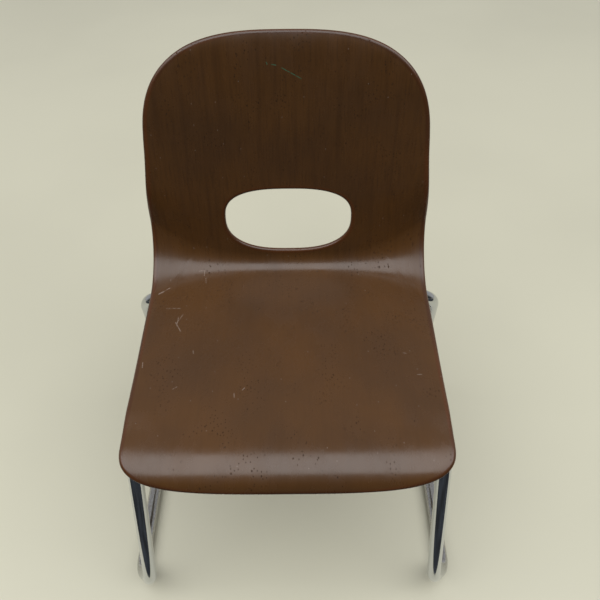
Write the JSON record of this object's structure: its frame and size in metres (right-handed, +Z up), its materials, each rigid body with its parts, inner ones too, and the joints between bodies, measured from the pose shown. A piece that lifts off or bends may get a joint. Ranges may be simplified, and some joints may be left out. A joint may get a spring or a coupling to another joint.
{
  "type": "stacking chair",
  "caption": "Stacking chair with a moulded brown shell, a hand slot in the back, and a bent chrome tube frame on floor runners.",
  "frame": {"origin": "on the floor, under the middle of the bounding box", "axes": "+X across the seat, to the right as seen from in front; +Y from the front edge to the back; +Z up"},
  "size_m": [0.556, 0.4996, 0.7705],
  "materials": {
    "shell": "semi-gloss moulded, dark brown",
    "chrome": "bright plated",
    "steel": "plain drawn tube",
    "zinc": "zinc plated",
    "brass": "turned",
    "rubber": "matt black",
    "plastic": "satin black"
  },
  "bodies": {
    "root": {"seat_shell": "shell", "left_frame_tube": "chrome", "right_frame_tube": "chrome", "rear_rail": "chrome", "front_cross_tube": "chrome", "left_rail_sleeve": "steel", "right_rail_sleeve": "steel", "front_left_bracket": "chrome", "front_right_bracket": "chrome", "rear_left_bracket": "chrome", "rear_right_bracket": "chrome", "front_left_pad": "rubber", "front_right_pad": "rubber", "rear_left_pad": "rubber", "rear_right_pad": "rubber", "front_left_insert": "brass", "front_right_insert": "brass", "rear_left_insert": "brass", "rear_right_insert": "brass", "front_left_screw": "zinc", "front_right_screw": "zinc", "rear_left_screw": "zinc", "rear_right_screw": "zinc", "front_left_flat_washer": "zinc", "front_right_flat_washer": "zinc", "rear_left_flat_washer": "zinc", "rear_right_flat_washer": "zinc", "front_left_spring_washer": "zinc", "front_right_spring_washer": "zinc", "rear_left_spring_washer": "zinc", "rear_right_spring_washer": "zinc", "front_left_glide": "plastic", "front_right_glide": "plastic", "rear_left_glide": "plastic", "rear_right_glide": "plastic", "left_stacking_buffer": "rubber", "right_stacking_buffer": "rubber"}
  },
  "joints": []
}
